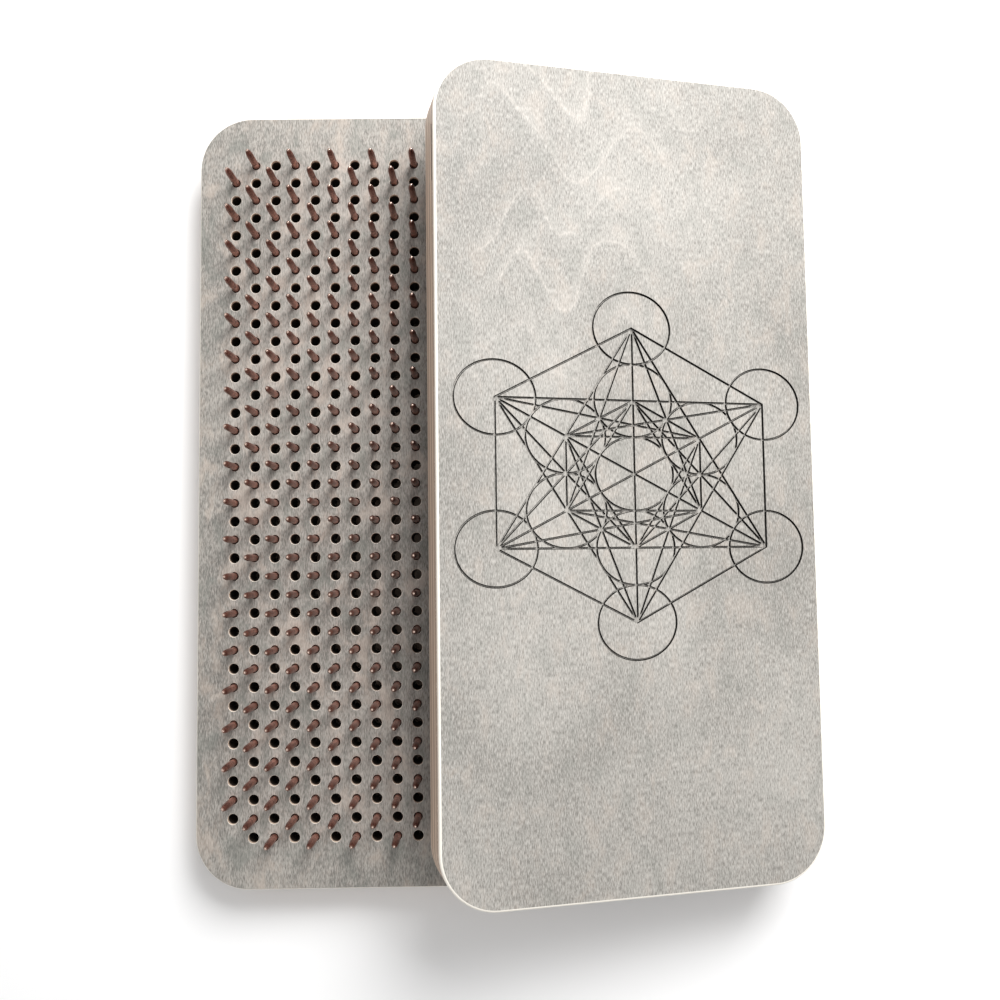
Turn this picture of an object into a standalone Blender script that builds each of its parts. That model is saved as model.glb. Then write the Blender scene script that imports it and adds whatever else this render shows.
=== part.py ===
"""A pair of nesting nail boards: one lies with its nails up, the other leans over it with its nails down.

Each board is an 18 mm perforated birch panel with a thin back panel. Its nails stand in a checkerboard with
the holes that receive the other board's nails. Metres, +Z up, origin at the middle of the lower board's underside.
"""
import math

import bmesh
import bpy

# Driving dimensions of one board, lying with its nails up
BOARD_WIDTH = 0.175
BOARD_LENGTH = 0.361
BOARD_HEIGHT = 0.021
BACK_THICKNESS = 0.003
CORNER_RADIUS = 0.025
CORNER_STEPS = 6

# The grid that nails and receiving holes share
COLUMNS = 16
ROWS = 38
COLUMN_PITCH = 0.0094
ROW_PITCH = 0.0085

# Nails and their seats
NAIL_REACH = 0.018
NAIL_RADIUS = 0.0018
NAIL_SIDES = 3
POINT_LENGTH = 0.0045
STRIP_WIDTH = 0.0036
STRIP_THICKNESS = 0.001
STRIP_OVERHANG = 0.003
CHANNEL_CLEARANCE = 0.0003
SLOT_WIDTH = 0.004
GAP = 0.0003

# How the upper board leans: on its last column of nails, with a later column on the lower board's margin
LEAN_COLUMNS = 10
STAND_X = 0.1715
ROW_SHIFT = ROW_PITCH / 2

# Heights inside one board, worked out from its thicknesses
PANEL_BOTTOM = BACK_THICKNESS + GAP
STRIP_TOP = BACK_THICKNESS - GAP
STRIP_BOTTOM = STRIP_TOP - STRIP_THICKNESS
CHANNEL_BOTTOM = STRIP_BOTTOM - CHANNEL_CLEARANCE
TIP_HEIGHT = BOARD_HEIGHT + NAIL_REACH

# The lean angle lifts the resting nail points just clear of the lower board's face
LEAN = math.asin((BOARD_HEIGHT + GAP) / (LEAN_COLUMNS * COLUMN_PITCH))


def clear_scene():
    """Remove every object, so that the script gives the same scene each time."""
    for item in list(bpy.data.objects):
        bpy.data.objects.remove(item, do_unlink=True)


def make_collection(name):
    """Add a collection to the scene."""
    collection = bpy.data.collections.new(name)
    bpy.context.scene.collection.children.link(collection)
    return collection


def make_material(name, colour, roughness, metallic):
    """A Principled material with one colour."""
    material = bpy.data.materials.new(name)
    material.use_nodes = True
    shader = material.node_tree.nodes["Principled BSDF"]
    shader.inputs["Base Color"].default_value = (*colour, 1.0)
    shader.inputs["Roughness"].default_value = roughness
    shader.inputs["Metallic"].default_value = metallic
    return material


def column_x(column):
    """Distance of a grid column from the board's long middle line."""
    return (column - (COLUMNS - 1) / 2) * COLUMN_PITCH


def row_y(row):
    """Distance of a grid row from the board's short middle line, row 0 at +Y."""
    return ((ROWS - 1) / 2 - row) * ROW_PITCH


def seat_pairs(column):
    """Each nail's row with the row of the receiving hole beside it; both corner places of an end column stay empty."""
    end_column = column in (0, COLUMNS - 1)
    first = 1 if end_column else 0
    last = ROWS - 2 if end_column else ROWS - 1
    pairs = []
    for row in range(first, last, 2):
        nail_first = (column + row) % 2 == 1
        pairs.append((row, row + 1) if nail_first else (row + 1, row))
    return pairs


def add_loop(curve, points):
    """Add a closed straight-sided loop to a flat curve."""
    spline = curve.splines.new("POLY")
    spline.points.add(len(points) - 1)
    for point, (x, y) in zip(spline.points, points):
        point.co = (x, y, 0.0, 1.0)
    spline.use_cyclic_u = True


def rounded_outline():
    """The board's outline, a rectangle with a quarter circle at each corner."""
    centre_x = BOARD_WIDTH / 2 - CORNER_RADIUS
    centre_y = BOARD_LENGTH / 2 - CORNER_RADIUS
    points = []
    for quarter, (side_x, side_y) in enumerate(((1, 1), (-1, 1), (-1, -1), (1, -1))):
        for step in range(CORNER_STEPS + 1):
            angle = math.pi / 2 * (quarter + step / CORNER_STEPS)
            x = side_x * centre_x + CORNER_RADIUS * math.cos(angle)
            y = side_y * centre_y + CORNER_RADIUS * math.sin(angle)
            points.append((x, y))
    return points


def slot_outline(column, nail_row, hole_row):
    """The opening that holds one nail's shank at one end and receives the other board's nail at the other."""
    x = column_x(column)
    top = row_y(min(nail_row, hole_row)) + SLOT_WIDTH / 2
    bottom = row_y(max(nail_row, hole_row)) - SLOT_WIDTH / 2
    half = SLOT_WIDTH / 2
    return [(x - half, bottom), (x + half, bottom), (x + half, top), (x - half, top)]


def flat_curve(name, loops, bottom, top):
    """A flat curve filled between its loops, as thick as the space from bottom to top."""
    curve = bpy.data.curves.new(name, "CURVE")
    curve.dimensions = "2D"
    curve.fill_mode = "BOTH"
    curve.extrude = (top - bottom) / 2
    for loop in loops:
        add_loop(curve, loop)
    return curve


def solid_mesh(name, curve, height):
    """The curve's filled solid as a welded mesh, raised to its place."""
    holder = bpy.data.objects.new(name, curve)
    bpy.context.scene.collection.objects.link(holder)
    evaluated = holder.evaluated_get(bpy.context.evaluated_depsgraph_get())
    mesh = bpy.data.meshes.new_from_object(evaluated)
    bpy.data.objects.remove(holder, do_unlink=True)
    shape = bmesh.new()
    shape.from_mesh(mesh)
    bmesh.ops.remove_doubles(shape, verts=shape.verts, dist=0.00001)
    bmesh.ops.translate(shape, verts=shape.verts, vec=(0.0, 0.0, height))
    bmesh.ops.recalc_face_normals(shape, faces=shape.faces)
    shape.to_mesh(mesh)
    shape.free()
    return mesh


def panel_mesh():
    """The perforated panel: the outline with one slot for each nail and the receiving hole beside it."""
    loops = [rounded_outline()]
    for column in range(COLUMNS):
        for nail_row, hole_row in seat_pairs(column):
            loops.append(slot_outline(column, nail_row, hole_row))
    curve = flat_curve("panel_outline", loops, PANEL_BOTTOM, BOARD_HEIGHT)
    return solid_mesh("panel", curve, (PANEL_BOTTOM + BOARD_HEIGHT) / 2)


def add_box(shape, low, high):
    """Add a box between two corners to a bmesh."""
    added = bmesh.ops.create_cube(shape, size=1.0)["verts"]
    size = [b - a for a, b in zip(low, high)]
    middle = [(a + b) / 2 for a, b in zip(low, high)]
    bmesh.ops.scale(shape, verts=added, vec=size)
    bmesh.ops.translate(shape, verts=added, vec=middle)


def strip_span(column):
    """The two ends of a column's head strip along Y."""
    nail_rows = [nail_row for nail_row, _ in seat_pairs(column)]
    return row_y(max(nail_rows)) - STRIP_OVERHANG, row_y(min(nail_rows)) + STRIP_OVERHANG


def combined_mesh(name, base, operand, operation, cutters):
    """Two meshes put through one Boolean, as a new mesh."""
    keeper = bpy.data.objects.new(name, base)
    bpy.context.scene.collection.objects.link(keeper)
    tool = bpy.data.objects.new(name + "_tool", operand)
    cutters.objects.link(tool)
    tool.hide_render = True
    tool.display_type = "WIRE"
    boolean = keeper.modifiers.new("combine", "BOOLEAN")
    boolean.operation = operation
    boolean.solver = "EXACT"
    boolean.object = tool
    evaluated = keeper.evaluated_get(bpy.context.evaluated_depsgraph_get())
    mesh = bpy.data.meshes.new_from_object(evaluated)
    bpy.data.objects.remove(keeper, do_unlink=True)
    return mesh


def back_mesh(cutters):
    """The back panel, with a channel for each column's head strip."""
    curve = flat_curve("back_outline", [rounded_outline()], 0.0, BACK_THICKNESS)
    blank = solid_mesh("back", curve, BACK_THICKNESS / 2)
    shape = bmesh.new()
    half = STRIP_WIDTH / 2 + CHANNEL_CLEARANCE
    for column in range(COLUMNS):
        x = column_x(column)
        bottom_y, top_y = strip_span(column)
        low = (x - half, bottom_y - CHANNEL_CLEARANCE, CHANNEL_BOTTOM)
        high = (x + half, top_y + CHANNEL_CLEARANCE, BACK_THICKNESS + GAP)
        add_box(shape, low, high)
    channels = bpy.data.meshes.new("channels")
    shape.to_mesh(channels)
    shape.free()
    return combined_mesh("back", blank, channels, "DIFFERENCE", cutters)


def add_nail(shape, y):
    """Add one nail to a bmesh: a straight shank and a point, with its foot sunk in the head strip."""
    foot = STRIP_BOTTOM + STRIP_THICKNESS / 2
    shoulder = TIP_HEIGHT - POINT_LENGTH
    shank = bmesh.ops.create_cone(
        shape, cap_ends=True, segments=NAIL_SIDES, radius1=NAIL_RADIUS, radius2=NAIL_RADIUS, depth=shoulder - foot
    )["verts"]
    bmesh.ops.translate(shape, verts=shank, vec=(0.0, y, (shoulder + foot) / 2))
    upper = [corner for corner in shank if corner.co.z > (shoulder + foot) / 2]
    cap = next(face for face in upper[0].link_faces if all(corner in upper for corner in face.verts))
    peak = bmesh.ops.poke(shape, faces=[cap])["verts"][0]
    peak.co.z = TIP_HEIGHT


def nail_column_mesh(column, cutters):
    """A column's nails on the strip that joins their heads, centred on the column's own line."""
    bottom_y, top_y = strip_span(column)
    strip = bpy.data.meshes.new("strip")
    shape = bmesh.new()
    half = STRIP_WIDTH / 2
    add_box(shape, (-half, bottom_y, STRIP_BOTTOM), (half, top_y, STRIP_TOP))
    shape.to_mesh(strip)
    shape.free()
    nails = bpy.data.meshes.new("nails")
    shape = bmesh.new()
    for nail_row, _ in seat_pairs(column):
        add_nail(shape, row_y(nail_row))
    shape.to_mesh(nails)
    shape.free()
    return combined_mesh("nail_column", strip, nails, "UNION", cutters)


def place(name, mesh, material, parent, x, collection):
    """Add one sub-part to the assembly, on its board's empty."""
    piece = bpy.data.objects.new(name, mesh)
    piece.parent = parent
    piece.location = (x, 0.0, 0.0)
    if not mesh.materials:
        mesh.materials.append(material)
    collection.objects.link(piece)
    return piece


def add_board(prefix, frame, meshes, materials, collection):
    """One board: perforated panel, back panel and its nail columns, all carried by one empty."""
    panel, back, columns = meshes
    wood, backing, metal = materials
    place(prefix + "_perforated_panel", panel, wood, frame, 0.0, collection)
    place(prefix + "_back_panel", back, backing, frame, 0.0, collection)
    for column in range(COLUMNS):
        name = f"{prefix}_nail_column_{column + 1:02d}"
        place(name, columns[column], metal, frame, column_x(column), collection)


def add_frame(name, location, turn, collection):
    """An empty that carries one board."""
    frame = bpy.data.objects.new(name, None)
    frame.empty_display_size = 0.05
    frame.location = location
    frame.rotation_euler = (0.0, turn, 0.0)
    collection.objects.link(frame)
    return frame


clear_scene()
assembly = make_collection("nesting_nail_boards")
cutter_collection = make_collection("cutters")
panel_wood = make_material("stained_birch_face", (0.42, 0.39, 0.37), 0.75, 0.0)
back_wood = make_material("stained_birch_back", (0.52, 0.49, 0.46), 0.72, 0.0)
nail_metal = make_material("copper_plated_nail", (0.36, 0.16, 0.09), 0.35, 1.0)

# Columns whose nails fall in the same rows share one mesh
column_meshes = {}
for grid_column in (0, 1, 2, COLUMNS - 1):
    column_meshes[grid_column] = nail_column_mesh(grid_column, cutter_collection)
columns_in_order = [column_meshes[0]]
for grid_column in range(1, COLUMNS - 1):
    columns_in_order.append(column_meshes[1 if grid_column % 2 else 2])
columns_in_order.append(column_meshes[COLUMNS - 1])
board_meshes = (panel_mesh(), back_mesh(cutter_collection), columns_in_order)
board_materials = (panel_wood, back_wood, nail_metal)

lower_frame = add_frame("lower_board_frame", (0.0, 0.0, 0.0), 0.0, assembly)
add_board("lower", lower_frame, board_meshes, board_materials, assembly)

# The upper board is turned over and leaned; its first column of nails stands on the table at STAND_X
standing_x = column_x(0)
upper_x = STAND_X + standing_x * math.cos(LEAN) + TIP_HEIGHT * math.sin(LEAN)
upper_z = TIP_HEIGHT * math.cos(LEAN) - standing_x * math.sin(LEAN)
upper_frame = add_frame("upper_board_frame", (upper_x, ROW_SHIFT, upper_z), math.pi + LEAN, assembly)
add_board("upper", upper_frame, board_meshes, board_materials, assembly)
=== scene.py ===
"""A pair of nesting nail boards: stained birch plywood, copper-plated nails and an engraved geometric figure.

The lower board lies with its nails up. The upper board is turned over and leans on it, nails down.
"""
import math

import bmesh
import bpy
import numpy as np
from mathutils import Matrix, Vector, geometry


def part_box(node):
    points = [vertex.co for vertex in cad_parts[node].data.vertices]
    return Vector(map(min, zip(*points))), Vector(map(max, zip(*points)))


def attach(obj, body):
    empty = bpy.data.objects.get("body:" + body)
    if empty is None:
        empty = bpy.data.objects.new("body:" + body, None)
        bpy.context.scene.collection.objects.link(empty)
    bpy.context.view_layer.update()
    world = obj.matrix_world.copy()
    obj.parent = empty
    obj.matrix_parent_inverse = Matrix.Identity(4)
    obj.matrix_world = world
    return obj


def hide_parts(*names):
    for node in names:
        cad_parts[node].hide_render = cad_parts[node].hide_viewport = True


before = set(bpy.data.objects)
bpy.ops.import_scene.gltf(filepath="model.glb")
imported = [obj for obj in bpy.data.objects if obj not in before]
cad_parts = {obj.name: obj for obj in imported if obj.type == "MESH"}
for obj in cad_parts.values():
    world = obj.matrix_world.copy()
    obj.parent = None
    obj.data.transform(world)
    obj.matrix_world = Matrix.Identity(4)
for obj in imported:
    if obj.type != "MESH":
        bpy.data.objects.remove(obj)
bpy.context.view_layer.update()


# ---- Perforated panels ------------------------------------------------------------------------------------
# 18 mm birch plywood drilled right through on a checkerboard grid. Every second hole is close round a nail
# and countersunk at the back for its head; the others are wider and take the other board's nails. The face
# is stained and its rounded corner and routed side are left bare.
back_low, back_high = (np.array(corner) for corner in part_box("lower_back_panel"))
BOARD_WIDTH, BOARD_LENGTH, BACK_THICKNESS = back_high - back_low
panel_low, panel_high = (np.array(corner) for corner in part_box("lower_perforated_panel"))
PANEL_BOTTOM, BOARD_HEIGHT = panel_low[2], panel_high[2]
COLUMNS, ROWS = 16, 38
COLUMN_PITCH, ROW_PITCH = 0.0094, 0.0085
CORNER_RADIUS = 0.025
NAIL_RADIUS = 0.0016
NAIL_HOLE_RADIUS = 0.00205
SEAT_RADIUS = 0.00245
HOLE_CHAMFER = 0.0002
COUNTERSINK_RADIUS, COUNTERSINK_DEPTH = 0.0033, 0.0021
FACE_ROUNDING = 0.0009
HOLE_SIDES = 14
CORNER_POINTS = 17
OUTLINE_STEP = 0.0015

grid_column, grid_row = np.indices((COLUMNS, ROWS)).reshape(2, -1)
is_corner = np.isin(grid_column, (0, COLUMNS - 1)) & np.isin(grid_row, (0, ROWS - 1))
has_nail = ((grid_column + grid_row) % 2 == 1) & ~is_corner
has_seat = ((grid_column + grid_row) % 2 == 0) & ~is_corner
grid_x = (grid_column - (COLUMNS - 1) / 2) * COLUMN_PITCH
grid_y = ((ROWS - 1) / 2 - grid_row) * ROW_PITCH
grid_points = np.stack([grid_x, grid_y], axis=1)

# Two places on one side where a core ply has a gap: place along the side, half length, lower and upper
# height, and depth
CORE_GAPS = (
    (0.138, 0.0115, 0.0037, 0.0061, 0.0022),
    (0.098, 0.0040, 0.0120, 0.0134, 0.0016),
)


def rounded_outline(inset):
    """The board's outline drawn in by an inset.

    Each corner is centre + (corner radius - inset) (cos, sin) over a quarter turn, and straight sides with
    evenly spaced points join the corners.
    """
    radius = CORNER_RADIUS - inset
    centre = np.array([BOARD_WIDTH / 2 - CORNER_RADIUS, BOARD_LENGTH / 2 - CORNER_RADIUS])
    steps = np.linspace(0.0, math.pi / 2, CORNER_POINTS)
    quarters = []
    for quarter, corner in enumerate(((1, 1), (-1, 1), (-1, -1), (1, -1))):
        turn = steps + quarter * math.pi / 2
        arc = centre * corner + radius * np.stack([np.cos(turn), np.sin(turn)], axis=1)
        quarters.append(arc)
    points = []
    for quarter, arc in enumerate(quarters):
        following = quarters[(quarter + 1) % 4][0]
        count = int(round(np.hypot(*(following - arc[-1])) / OUTLINE_STEP))
        share = np.linspace(0.0, 1.0, count, endpoint=False)[1:, None]
        points += [arc, arc[-1] + (following - arc[-1]) * share]
    return np.concatenate(points)


def circle_points(radius, sides):
    """Points of a circle about the origin: radius (cos, sin) over a whole turn, anticlockwise."""
    turn = np.arange(sides) / sides * 2 * math.pi
    return radius * np.stack([np.cos(turn), np.sin(turn)], axis=1)


def cut_flat(loops):
    """Triangles that fill the first loop and keep every loop as edges. They are filled in millimetres."""
    edges = []
    start = 0
    for loop in loops:
        index = np.arange(len(loop))
        edges.append(np.stack([index, np.roll(index, -1)], axis=1) + start)
        start += len(loop)
    flat = (np.concatenate(loops) * 1000).tolist()
    closeness = 0.00001
    result = geometry.delaunay_2d_cdt(flat, np.concatenate(edges).tolist(), [], 0, closeness, False)
    return np.array(result[0]) / 1000, np.array(result[2])


def ring_faces(rings, sides):
    """Four-sided faces between each ring of points and the next, where every ring has the same number."""
    ring, side = np.indices((rings - 1, sides)).reshape(2, -1)
    here, after = ring * sides + side, ring * sides + (side + 1) % sides
    return np.stack([here, here + sides, after + sides, after], axis=1)


def carried_profile(profile):
    """The outline carried along a profile: at each (inset, height), the outline drawn in by the inset."""
    outlines = np.stack([rounded_outline(inset) for inset, _ in profile])
    heights = np.array([height for _, height in profile])
    heights = np.broadcast_to(heights[:, None, None], (*outlines.shape[:2], 1))
    points = np.concatenate([outlines, heights], axis=2).reshape(-1, 3)
    return points, ring_faces(*outlines.shape[:2])


def drilled(centres, profile, sides):
    """One turned surface at each centre: centre + radius (cos, sin) at each (radius, height) of a profile."""
    unit = circle_points(1.0, sides)
    rings = [np.column_stack([unit * radius, np.full(sides, height)]) for radius, height in profile]
    one = np.concatenate(rings)
    offsets = np.column_stack([centres, np.zeros(len(centres))])
    points = (one[None] + offsets[:, None]).reshape(-1, 3)
    faces = ring_faces(len(profile), sides)
    return points, (faces[None] + np.arange(len(centres))[:, None, None] * len(one)).reshape(-1, 4)


def without_holes(points, triangles, centres, radius):
    """The triangles whose middle is outside every hole, tested a batch at a time to spare memory."""
    middles = points[triangles].mean(axis=1)
    keep = np.ones(len(triangles), bool)
    batch = 4000
    for begin in range(0, len(triangles), batch):
        some = middles[begin : begin + batch]
        near = np.hypot(*(some[:, None] - centres[None]).transpose(2, 0, 1))
        keep[begin : begin + batch] = (near > radius * 0.98).all(axis=1)
    return triangles[keep]


def join_parts(parts):
    """Parts of (points, faces, marks) listed as one surface."""
    points = np.concatenate([part[0] for part in parts])
    marks = np.concatenate([np.broadcast_to(part[2], (len(part[0]), 3)) for part in parts])
    faces = []
    start = 0
    for part in parts:
        faces += (np.asarray(part[1]) + start).tolist()
        start += len(part[0])
    return points, faces, marks


def core_gaps(points, marks):
    """The side pushed in where a core ply has a gap, and marked for painted shade that draws the gap near
    black.
    """
    points, marks = points.copy(), marks.copy()
    for along, half, low, high, depth in CORE_GAPS:
        near = (points[:, 0] > BOARD_WIDTH / 2 - 0.0005) & (np.abs(points[:, 1] - along) < half)
        inside = near & (points[:, 2] > low - 0.00001) & (points[:, 2] < high + 0.00001)
        points[inside, 0] -= depth
        # Painted shade: the gap's faces are marked to be drawn near black
        marks[inside, 1] = 1.0
    return points, marks


def panel_surface():
    """The panel: two flat faces full of holes, a quarter round, a straight side and the hole walls."""
    nails, seats = grid_points[has_nail], grid_points[has_seat]
    parts = []
    for height, inset, nail_radius, seat_radius, flip in (
        (BOARD_HEIGHT, FACE_ROUNDING, NAIL_HOLE_RADIUS + HOLE_CHAMFER, SEAT_RADIUS + HOLE_CHAMFER, False),
        (PANEL_BOTTOM, 0.0, COUNTERSINK_RADIUS, SEAT_RADIUS, True),
    ):
        loops = [rounded_outline(inset)]
        loops += [centre + circle_points(nail_radius, HOLE_SIDES) for centre in nails]
        loops += [centre + circle_points(seat_radius, HOLE_SIDES) for centre in seats]
        flat, triangles = cut_flat(loops)
        triangles = without_holes(flat, triangles, nails, nail_radius)
        triangles = without_holes(flat, triangles, seats, seat_radius)
        points = np.column_stack([flat, np.full(len(flat), height)])
        parts.append((points, triangles[:, ::-1] if flip else triangles, (0.0, 0.0, 0.0)))
    turn = np.linspace(0.0, math.pi / 2, 4)
    insets = FACE_ROUNDING * (1 - np.sin(turn))
    heights = BOARD_HEIGHT - FACE_ROUNDING * (1 - np.cos(turn))
    levels = {PANEL_BOTTOM}
    for _, _, low, high, _ in CORE_GAPS:
        levels |= {low - 0.00005, low, high, high + 0.00005}
    side = list(zip(insets, heights)) + [(0.0, level) for level in sorted(levels, reverse=True)]
    points, faces = carried_profile(side)
    bare = np.repeat([0.0, 0.15, 0.5] + [1.0] * (len(side) - 3), len(points) // len(side))
    points, marks = core_gaps(points, np.column_stack([bare, bare * 0.0, bare * 0.0]))
    parts.append((points, faces, marks))
    # Each wall: radius, height and how black it is, since hardly any light reaches down a drilled hole
    lip = BOARD_HEIGHT - HOLE_CHAMFER
    nail_wall = (
        (NAIL_HOLE_RADIUS + HOLE_CHAMFER, BOARD_HEIGHT, 0.0),
        (NAIL_HOLE_RADIUS, lip, 0.3),
        (NAIL_HOLE_RADIUS, lip - 0.0012, 1.0),
        (NAIL_HOLE_RADIUS, PANEL_BOTTOM + COUNTERSINK_DEPTH, 1.0),
        (COUNTERSINK_RADIUS, PANEL_BOTTOM, 0.0),
    )
    seat_wall = (
        (SEAT_RADIUS + HOLE_CHAMFER, BOARD_HEIGHT, 0.0),
        (SEAT_RADIUS, lip, 0.01),
        (SEAT_RADIUS, lip - 0.0014, 0.2),
        (SEAT_RADIUS, lip - 0.0036, 1.0),
        (SEAT_RADIUS, PANEL_BOTTOM, 1.0),
    )
    for centres, wall in ((nails, nail_wall), (seats, seat_wall)):
        points, faces = drilled(centres, [ring[:2] for ring in wall], HOLE_SIDES)
        black = np.tile(np.repeat([ring[2] for ring in wall], HOLE_SIDES), len(centres))
        parts.append((points, faces[:, ::-1], np.column_stack([black > 0.0, black, black * 0.0])))
    return join_parts(parts)


# Both boards are alike and are worked out once, nails up, x across, y along and z up from the outer face. A
# placing turns that onto the lower board, or onto the upper board that leans on it with its nails down.
lean_low, lean_high = (np.array(corner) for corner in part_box("upper_back_panel"))
lean_width, _, lean_rise = lean_high - lean_low
# The leaning back panel's box is width cos + thickness sin wide and width sin + thickness cos high
panel_sides = [[BOARD_WIDTH, BACK_THICKNESS], [BACK_THICKNESS, BOARD_WIDTH]]
lean_cos, lean_sin = np.linalg.solve(panel_sides, [lean_width, lean_rise])
LEAN = math.atan2(lean_sin, lean_cos)

upper_turn = Matrix.Rotation(math.pi + LEAN, 4, "Y")
upper_centre = Vector((lean_low + lean_high) / 2)
upper_back_middle = Vector((0.0, 0.0, BACK_THICKNESS / 2))
placings = {
    "lower": Matrix.Identity(4),
    "upper": Matrix.Translation(upper_centre) @ upper_turn @ Matrix.Translation(-upper_back_middle),
}


def placed(points, placing):
    """Rows of points carried by a 4 by 4 placing."""
    matrix = np.array(placing)
    return points @ matrix[:3, :3].T + matrix[:3, 3]


def add_piece(name, surface, material, body, node, placing, sharp=40.0):
    """A mesh that stands for a CAD node and rides on its body.

    A surface has points, faces and three marks per point: how bare the wood is there, how much painted shade
    blackens it inside a hole or gap, and how far down a groove it lies.
    """
    points, faces, marks = surface
    mesh = bpy.data.meshes.new(name)
    mesh.from_pydata(placed(points, placing).tolist(), [], faces)
    for column, mark in enumerate(("bare", "painted_cut_shade", "groove")):
        layer = mesh.attributes.new(mark, "FLOAT", "POINT")
        layer.data.foreach_set("value", marks[:, column].astype(np.float32))
    # Parts of the surface meet in points a tenth of a micron apart at most, which become one point here
    welded = bmesh.new()
    welded.from_mesh(mesh)
    bmesh.ops.remove_doubles(welded, verts=welded.verts, dist=0.0000001)
    welded.to_mesh(mesh)
    welded.free()
    mesh.polygons.foreach_set("use_smooth", np.full(len(mesh.polygons), True))
    mesh.set_sharp_from_angle(angle=math.radians(sharp))
    mesh.materials.append(material)
    piece = bpy.data.objects.new(name, mesh)
    bpy.context.scene.collection.objects.link(piece)
    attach(piece, body)
    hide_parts(node)
    return piece


class Wire:
    """A shader socket that adds Math nodes when it is used in a Python expression."""

    def __init__(self, tree, socket):
        self.tree = tree
        self.socket = socket

    def node(self, kind, settings=None, **links):
        """Any node: its settings first, then its sockets' values or links. Gives its outputs by name.

        A socket is named with underscores for spaces, or numbered, as i6 for the socket of index 6.
        """
        made = self.tree.nodes.new(kind)
        for key, value in (settings or {}).items():
            setattr(made, key, value)
        for key, value in links.items():
            name = key.replace("_", " ")
            numbered = name[0] == "i" and name[1:].isdigit()
            target = made.inputs[int(name[1:]) if numbered else name]
            if isinstance(value, Wire):
                self.tree.links.new(value.socket, target)
            else:
                target.default_value = value
        return lambda output: Wire(self.tree, made.outputs[output])

    def maths(self, operation, *others):
        """A Math node on this value and any others."""
        links = {f"i{n + 1}": other for n, other in enumerate(others)}
        return self.node("ShaderNodeMath", {"operation": operation}, i0=self, **links)(0)

    def __add__(self, other):
        return self.maths("ADD", other)

    def __mul__(self, other):
        return self.maths("MULTIPLY", other)

    def __sub__(self, other):
        return self.maths("SUBTRACT", other)

    def __truediv__(self, other):
        return self.maths("DIVIDE", other)

    def __rsub__(self, other):
        return self.node("ShaderNodeMath", {"operation": "SUBTRACT"}, i0=other, i1=self)(0)

    __radd__ = __add__
    __rmul__ = __mul__

    def step(self, low, high):
        """0 below low, 1 above high, and smooth between them."""
        settings = {"interpolation_type": "SMOOTHSTEP"}
        made = self.node("ShaderNodeMapRange", settings, Value=self, From_Min=low, From_Max=high)
        return made("Result")

    def between(self, low, high):
        """The colour low where this value is 0, high where it is 1, and a mix in between."""
        return self.node("ShaderNodeMix", {"data_type": "RGBA"}, i0=self, i6=low, i7=high)(2)

    def blend(self, other, amount):
        """This colour mixed towards another by an amount."""
        return amount.between(self, other)


def new_finish(name, placing):
    """A Principled material, its shader, and the board's own coordinates in millimetres."""
    material = bpy.data.materials.new(name)
    material.use_nodes = True
    tree = material.node_tree
    shader = tree.nodes["Principled BSDF"]
    start = Wire(tree, None)
    place = start.node("ShaderNodeTexCoord")("Object")
    back = placing.inverted()
    mapped = start.node(
        "ShaderNodeMapping",
        {"vector_type": "POINT"},
        Vector=place,
        Location=tuple(1000 * back.translation),
        Rotation=tuple(back.to_euler()),
        Scale=(1000, 1000, 1000),
    )
    return material, shader, mapped("Vector")


def stretched_noise(place, across, along, detail=2.0, rough=0.5, shift=0.0, distort=0.0):
    """Noise whose cells measure across by along millimetres on the board."""
    cells = place.node(
        "ShaderNodeMapping",
        {"vector_type": "POINT"},
        Vector=place,
        Location=(shift, shift, shift),
        Scale=(1 / across, 1 / along, 1 / across),
    )
    made = place.node(
        "ShaderNodeTexNoise",
        Vector=cells("Vector"),
        Scale=1.0,
        Detail=detail,
        Roughness=rough,
        Distortion=distort,
    )
    return made(0)


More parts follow.
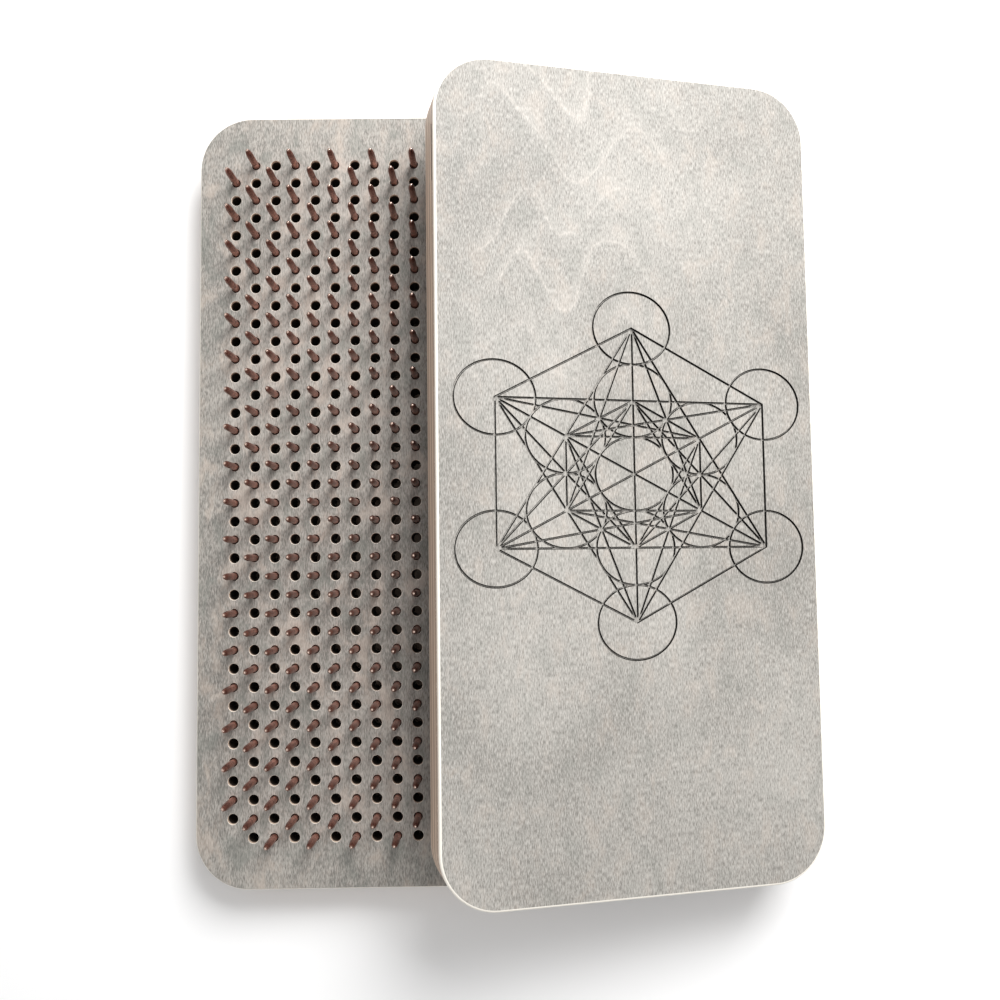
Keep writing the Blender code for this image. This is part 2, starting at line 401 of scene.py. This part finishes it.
# The face is rotary-cut birch veneer under a thin grey-beige stain: fine streaks along the board, cloudy
# pink and greenish patches where the stain took unevenly, and pale arcs where the cutter met the rings.
def stained_birch(name, placing, dark, pale, blotch, arcs, seed):
    """Streaks, pores, stain blotches and ring arcs, mixed into one colour, with a light grain relief."""
    material, shader, place = new_finish(name, placing)
    streak = stretched_noise(place, 0.75, 9.0, 3.0, 0.6, seed)
    fibre = stretched_noise(place, 0.38, 2.0, 2.0, 0.6, seed + 7)
    mottle = stretched_noise(place, 2.2, 4.0, 2.0, 0.5, seed + 11)
    cloud = stretched_noise(place, 60.0, 90.0, 3.0, 0.45, seed + 13, 0.3)
    tone = (streak - 0.5) * 0.6 + (fibre - 0.5) * 1.9 + (mottle - 0.5) * 0.25 + (cloud - 0.5) * 0.6 + 0.5
    colour = tone.step(0.0, 1.0).between(dark, pale)
    # The stain took unevenly: pinkish where it stayed thin and greenish grey where it gathered
    tint = stretched_noise(place, 9.0, 17.0, 4.0, 0.6, seed + 29, 0.4)
    colour = colour.blend((0.56, 0.47, 0.40, 1.0), tint.step(0.5, 0.68) * blotch)
    colour = colour.blend((0.17, 0.185, 0.165, 1.0), (1.0 - tint).step(0.5, 0.68) * blotch)
    # Ring arcs are level lines of a wave that climbs along the board and wanders a little
    split = place.node("ShaderNodeSeparateXYZ", Vector=place)
    wander = stretched_noise(place, 26.0, 40.0, 2.0, 0.5, seed + 41)
    drift = stretched_noise(place, 90.0, 110.0, 1.0, 0.4, seed + 47)
    wave = ((split("X") + drift * 60.0 + wander * 12.0) * (math.pi / 26.0)).maths("SINE")
    level = (split("Y") + wave * 15.0 + wander * 18.0 + drift * 60.0) / 31.0
    ring = 1.0 - level.maths("PINGPONG", 0.5).step(0.0, 0.075)
    halo = 1.0 - level.maths("FRACT").step(0.0, 0.42)
    ring_here = stretched_noise(place, 45.0, 60.0, 1.0, 0.5, seed + 53).step(0.36, 0.6)
    ring_here = ring_here * split("Y").step(-90.0, 120.0)
    ring_broken = stretched_noise(place, 3.0, 6.0, 2.0, 0.6, seed + 61).step(0.25, 0.65)
    ring_side = split("X").step(-75.0, 20.0)
    arc = (ring * ring_broken * 0.42 + halo * 0.2) * ring_side
    colour = colour.blend((0.72, 0.66, 0.60, 1.0), arc * ring_here * arcs)
    pores = stretched_noise(place, 0.4, 4.5, 1.0, 0.5, seed + 71).step(0.66, 0.78)
    colour = colour.blend((0.13, 0.12, 0.11, 1.0), pores * 0.4)
    relief = streak * 0.6 + fibre * 0.5 - pores * 0.4
    bump = place.node("ShaderNodeBump", Strength=0.3, Distance=0.00012, Height=relief)
    tree = material.node_tree
    tree.links.new(bump("Normal").socket, shader.inputs["Normal"])
    rough = 0.53 + (streak - 0.5) * 0.2
    tree.links.new(rough.socket, shader.inputs["Roughness"])
    return material, shader, place, colour


# The side shows broad bands of side grain and darker end grain with brown glue lines between them. Only the
# face veneer is cut on the rounded corner, which stays cream.
PLY = 3.0


def ply_edge(place):
    """The colour of the board's side from the height in the board: pale and darker bands and glue lines."""
    height = place.node("ShaderNodeSeparateXYZ", Vector=place)("Z")
    wander = stretched_noise(place, 9.0, 30.0, 2.0, 0.5, 3.0)
    layer = height / PLY + (wander - 0.5) * 0.4
    parity = (layer / 2.0).maths("FRACT").step(0.49, 0.51)
    glue = 1.0 - layer.maths("PINGPONG", 0.5).step(0.04, 0.13)
    fibres = stretched_noise(place, 0.4, 7.0, 3.0, 0.6, 17.0)
    colour = fibres.between((0.70, 0.52, 0.40, 1.0), (0.94, 0.79, 0.64, 1.0))
    colour = colour.blend((0.42, 0.27, 0.19, 1.0), parity * 0.6)
    return colour.blend((0.12, 0.07, 0.045, 1.0), glue * 0.6)


def board_finish(name, placing, dark, pale, blotch, arcs, seed):
    """Stained on the face, cream on the rounded corner, plies on the sides, and painted shade near black
    inside holes, gaps and on groove walls.
    """
    material, shader, place, face = stained_birch(name, placing, dark, pale, blotch, arcs, seed)
    side = place.node("ShaderNodeAttribute", {"attribute_name": "bare"})("Fac")
    painted_cut_shade = place.node("ShaderNodeAttribute", {"attribute_name": "painted_cut_shade"})("Fac")
    edge = ply_edge(place)
    colour = face.blend((0.96, 0.91, 0.82, 1.0), side.step(0.05, 0.3))
    colour = colour.blend(edge, side.step(0.6, 0.9))
    # Painted shade: hole walls and core gaps are drawn near black, standing in for the shade where little
    # light reaches
    colour = colour.blend((0.014, 0.011, 0.009, 1.0), painted_cut_shade.step(0.05, 0.45) * 0.96)
    groove = place.node("ShaderNodeAttribute", {"attribute_name": "groove"})("Fac")
    # Painted shade: the groove walls are drawn near black, standing in for the shadow inside each groove
    wall = groove.step(0.0, 0.2) * (1.0 - groove.step(0.85, 1.0))
    colour = colour.blend((0.005, 0.0045, 0.004, 1.0), wall)
    material.node_tree.links.new(colour.socket, shader.inputs["Base Color"])
    shader.inputs["Specular IOR Level"].default_value = 0.27
    return material


drilled_panel = panel_surface()
for board, placing in placings.items():
    dark, pale = (0.165, 0.154, 0.139, 1.0), (0.465, 0.436, 0.396, 1.0)
    finish = board_finish(board + "_stained_panel", placing, dark, pale, 0.42, 0.35, 11.0)
    node = board + "_perforated_panel"
    panel = add_piece(board + "_panel", drilled_panel, finish, board + "_board", node, placing)


# ---- Back panels with the engraved figure -----------------------------------------------------------------
# 3 mm birch plywood glued over the nail heads. A small flat-ended cutter engraved thirteen circles on a
# hexagonal layout and every straight line that joins two of their centres. Its walls are drawn near black as
# painted shade and its floor is left pale, and where many grooves cross they merge into one cleared patch.
FIGURE_RADIUS = 0.0642
FIGURE_STRETCH = 1.118
CUT_HALF_WIDTH = 0.00052
CUT_WALL = 0.00028
CUT_DEPTH = 0.0014
CIRCLE_STEPS = 96
DISORDER = 0.000001
BACK_ROUNDING = 0.0013

turns = np.radians(90 + 60 * np.arange(6))
spokes = np.stack([np.cos(turns), np.sin(turns)], axis=1)
centres = FIGURE_RADIUS * np.concatenate([np.zeros((1, 2)), spokes / 2, spokes])
stretch = np.array([FIGURE_STRETCH, 1.0])


def figure_lines():
    """The longest straight line through every pair of circle centres, each line once, as end points."""
    spans = {}
    for first in range(len(centres)):
        for second in range(first + 1, len(centres)):
            along = centres[second] - centres[first]
            along = along / np.hypot(*along)
            if along[0] < -1e-9 or (abs(along[0]) < 1e-9 and along[1] < 0):
                along = -along
            across = np.array([-along[1], along[0]])
            offset = centres[first] @ across
            key = (round(math.atan2(along[1], along[0]), 4), round(offset * 1000, 3))
            reach = [centres[first] @ along, centres[second] @ along] + list(spans.get(key, ((), (), ()))[2])
            spans[key] = (along, across * offset, (min(reach), max(reach)))
    return [(base + along * low, base + along * high) for along, base, (low, high) in spans.values()]


def stroke_loops(start, end, half_width):
    """The outline of a straight stroke with pointed ends: its two ends, half a width out on each side."""
    along = (end - start) / np.hypot(*(end - start)) * half_width
    side = np.array([-along[1], along[0]])
    return np.array([start - along, start + side, end + side, end + along, end - side, start - side])


def engraved_face():
    """The outer face: depth = (half width - distance to the nearest stroke) / wall run, held from 0 to 1."""
    half_widths = (CUT_HALF_WIDTH, CUT_HALF_WIDTH - CUT_WALL)
    loops = []
    strokes = []
    for start, end in figure_lines():
        start, end = start * stretch, end * stretch
        loops += [stroke_loops(start, end, half_width) for half_width in half_widths]
        strokes.append(np.array([start, end]))
    for centre in centres:
        unit = circle_points(1.0, CIRCLE_STEPS)
        outward = unit / stretch
        outward = outward / np.hypot(*outward.T)[:, None]
        middle = centre * stretch + unit * stretch * FIGURE_RADIUS / 4
        loops += [middle + outward * half_width * side for half_width in half_widths for side in (-1, 1)]
        strokes += list(np.stack([middle, np.roll(middle, -1, axis=0)], axis=1))
    # A micron of disorder keeps three strokes from meeting in one exact point, which can't be filled cleanly
    random = np.random.default_rng(7)
    loops = [loop + random.uniform(-DISORDER, DISORDER, loop.shape) for loop in loops]
    flat, triangles = cut_flat([rounded_outline(BACK_ROUNDING)] + loops)
    nearest = np.full(len(flat), 1.0)
    for start, end in strokes:
        along = end - start
        share = np.clip((flat - start) @ along / (along @ along), 0.0, 1.0)
        nearest = np.minimum(nearest, np.hypot(*(flat - start - share[:, None] * along).T))
    depth = np.clip((CUT_HALF_WIDTH - nearest) / CUT_WALL, 0.0, 1.0)
    depth[depth < 0.03] = 0.0
    depth[depth > 0.97] = 1.0
    marks = np.column_stack([depth * 0.0, depth * 0.0, depth])
    return np.column_stack([flat, depth * CUT_DEPTH]), triangles[:, ::-1], marks


def back_surface():
    """The back panel: the engraved face, a quarter round, the thin side and the hidden inner face."""
    turn = np.linspace(0.0, math.pi / 2, 6)
    insets = BACK_ROUNDING * (1 - np.sin(turn))
    heights = BACK_ROUNDING * (1 - np.cos(turn))
    points, faces = carried_profile(list(zip(insets, heights)) + [(0.0, BACK_THICKNESS)])
    flat, triangles = cut_flat([rounded_outline(0.0)])
    bare = np.repeat([0.0, 0.4, 0.5, 0.5, 0.5, 0.75, 1.0], len(flat))
    inside = np.column_stack([flat, np.full(len(flat), BACK_THICKNESS)])
    side = (points, faces[:, ::-1], np.column_stack([bare, bare * 0.0, bare * 0.0]))
    return join_parts([engraved_face(), side, (inside, triangles, (1.0, 0.0, 0.0))])


engraved_panel = back_surface()
for board, placing in placings.items():
    dark, pale = (0.2, 0.188, 0.17, 1.0), (0.505, 0.482, 0.445, 1.0)
    finish = board_finish(board + "_stained_back", placing, dark, pale, 0.2, 0.6, 3.0)
    node = board + "_back_panel"
    back = add_piece(board + "_back", engraved_panel, finish, board + "_board", node, placing)


# ---- Nails ------------------------------------------------------------------------------------------------
# Copper-plated round nails with countersunk heads held between the two panels. Each column of nails stands
# for the CAD node of that column. The points are blunt, with a small flat that catches the light.
TIP_HEIGHT = float(np.array(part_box("lower_nail_column_02")[1])[2])
NAIL_SIDES = 8
HEAD_BOTTOM = PANEL_BOTTOM + 0.00005
NAIL_PROFILE = (
    (0.0, HEAD_BOTTOM),
    (0.0029, HEAD_BOTTOM),
    (NAIL_RADIUS, HEAD_BOTTOM + 0.0015),
    (NAIL_RADIUS, TIP_HEIGHT - 0.0052),
    (0.00132, TIP_HEIGHT - 0.0028),
    (0.00082, TIP_HEIGHT - 0.0007),
    (0.00042, TIP_HEIGHT - 0.0001),
    (0.0, TIP_HEIGHT),
)


def copper_finish(name, placing):
    """Brown copper plating with fine drawn lines, darker drifts of tarnish, a satin shine and smoother points
    drawn paler as a painted highlight.
    """
    material, shader, place = new_finish(name, placing)
    drift = stretched_noise(place, 1.3, 2.2, 3.0, 0.6, 5.0)
    scratch = stretched_noise(place, 0.5, 0.5, 2.0, 0.6, 23.0)
    height = place.node("ShaderNodeSeparateXYZ", Vector=place)("Z")
    # Smoother, paler points: the lower roughness is polish, and the paler colour is a painted highlight for
    # the glint at the tip
    polish_and_tip_highlight = height.step(TIP_HEIGHT * 1000 - 0.9, TIP_HEIGHT * 1000 - 0.1)
    colour = drift.step(0.22, 0.72).between((0.085, 0.020, 0.013, 1.0), (0.64, 0.29, 0.215, 1.0))
    tarnish = height.step(BOARD_HEIGHT * 1000 + 2.0, TIP_HEIGHT * 1000 - 2.0)
    colour = colour.blend((0.095, 0.022, 0.013, 1.0), tarnish * 0.65)
    colour = colour.blend((0.62, 0.38, 0.30, 1.0), scratch.step(0.55, 0.8) * 0.4)
    colour = colour.blend((0.85, 0.66, 0.56, 1.0), polish_and_tip_highlight * 0.7)
    links = material.node_tree.links
    links.new(colour.socket, shader.inputs["Base Color"])
    links.new((0.24 + drift * 0.16 - polish_and_tip_highlight * 0.14).socket, shader.inputs["Roughness"])
    shader.inputs["Metallic"].default_value = 0.75
    return material


for board, placing in placings.items():
    finish = copper_finish(board + "_copper", placing)
    for column in range(COLUMNS):
        places = grid_points[has_nail & (grid_column == column)]
        points, faces = drilled(places, NAIL_PROFILE, NAIL_SIDES)
        surface = join_parts([(points, faces[:, ::-1], (0.0, 0.0, 0.0))])
        node = f"{board}_nail_column_{column + 1:02d}"
        nails = add_piece(node + "_nails", surface, finish, board + "_board", node, placing, sharp=35.0)


# ---- Floor, light and camera ------------------------------------------------------------------------------
# A plain pale floor just under the lower board. A soft window light comes from behind and to the right, a
# larger one from overhead, and the camera looks nearly straight down.
FLOOR_REACH = 4.0
FLOOR_HEIGHT = -0.0002
floor_corners = FLOOR_REACH * np.array([[-1, -1, 0], [1, -1, 0], [1, 1, 0], [-1, 1, 0]])
floor_corners[:, 2] = FLOOR_HEIGHT
floor_mesh = bpy.data.meshes.new("floor")
floor_mesh.from_pydata(floor_corners.tolist(), [], [(0, 1, 2, 3)])
floor = bpy.data.objects.new("floor", floor_mesh)
bpy.context.scene.collection.objects.link(floor)
floor_material = bpy.data.materials.new("pale_floor")
floor_material.use_nodes = True
floor_shader = floor_material.node_tree.nodes["Principled BSDF"]
floor_shader.inputs["Base Color"].default_value = (0.93, 0.93, 0.93, 1.0)
floor_shader.inputs["Roughness"].default_value = 0.9
floor_mesh.materials.append(floor_material)


def add_softbox(name, place, aim, size, power):
    """A square area light that points at a place."""
    light = bpy.data.lights.new(name, "AREA")
    light.shape = "SQUARE"
    light.size = size
    light.energy = power
    lamp = bpy.data.objects.new(name, light)
    lamp.location = place
    lamp.rotation_euler = (Vector(aim) - Vector(place)).to_track_quat("-Z", "Y").to_euler()
    bpy.context.scene.collection.objects.link(lamp)


add_softbox("window_light", (0.40, 0.66, 0.80), (0.05, 0.0, 0.02), 0.58, 15.8)
add_softbox("overhead_light", (0.3, 0.1, 1.6), (0.05, 0.0, 0.02), 1.4, 6.0)
world = bpy.data.worlds.new("soft_room")
world.use_nodes = True
background = world.node_tree.nodes["Background"]
background.inputs["Color"].default_value = (1.0, 1.0, 1.0, 1.0)
background.inputs["Strength"].default_value = 0.40
bpy.context.scene.world = world
bpy.context.scene.view_settings.view_transform = "Standard"

camera_data = bpy.data.cameras.new("camera")
camera_data.sensor_width = 36.0
camera_data.lens = 35.1
camera_data.clip_start = 0.01
camera = bpy.data.objects.new("camera", camera_data)
camera_right = Vector((0.9999, -0.0129, 0.0088)).normalized()
camera_view = Vector((0.0097, 0.0676, -0.9977)).normalized()
camera_up = camera_right.cross(camera_view).normalized()
camera_right = camera_view.cross(camera_up).normalized()
camera_turn = Matrix((camera_right, camera_up, -camera_view)).transposed().to_4x4()
camera.matrix_world = Matrix.Translation((0.0489, -0.035, 0.476)) @ camera_turn
bpy.context.scene.collection.objects.link(camera)
bpy.context.scene.camera = camera
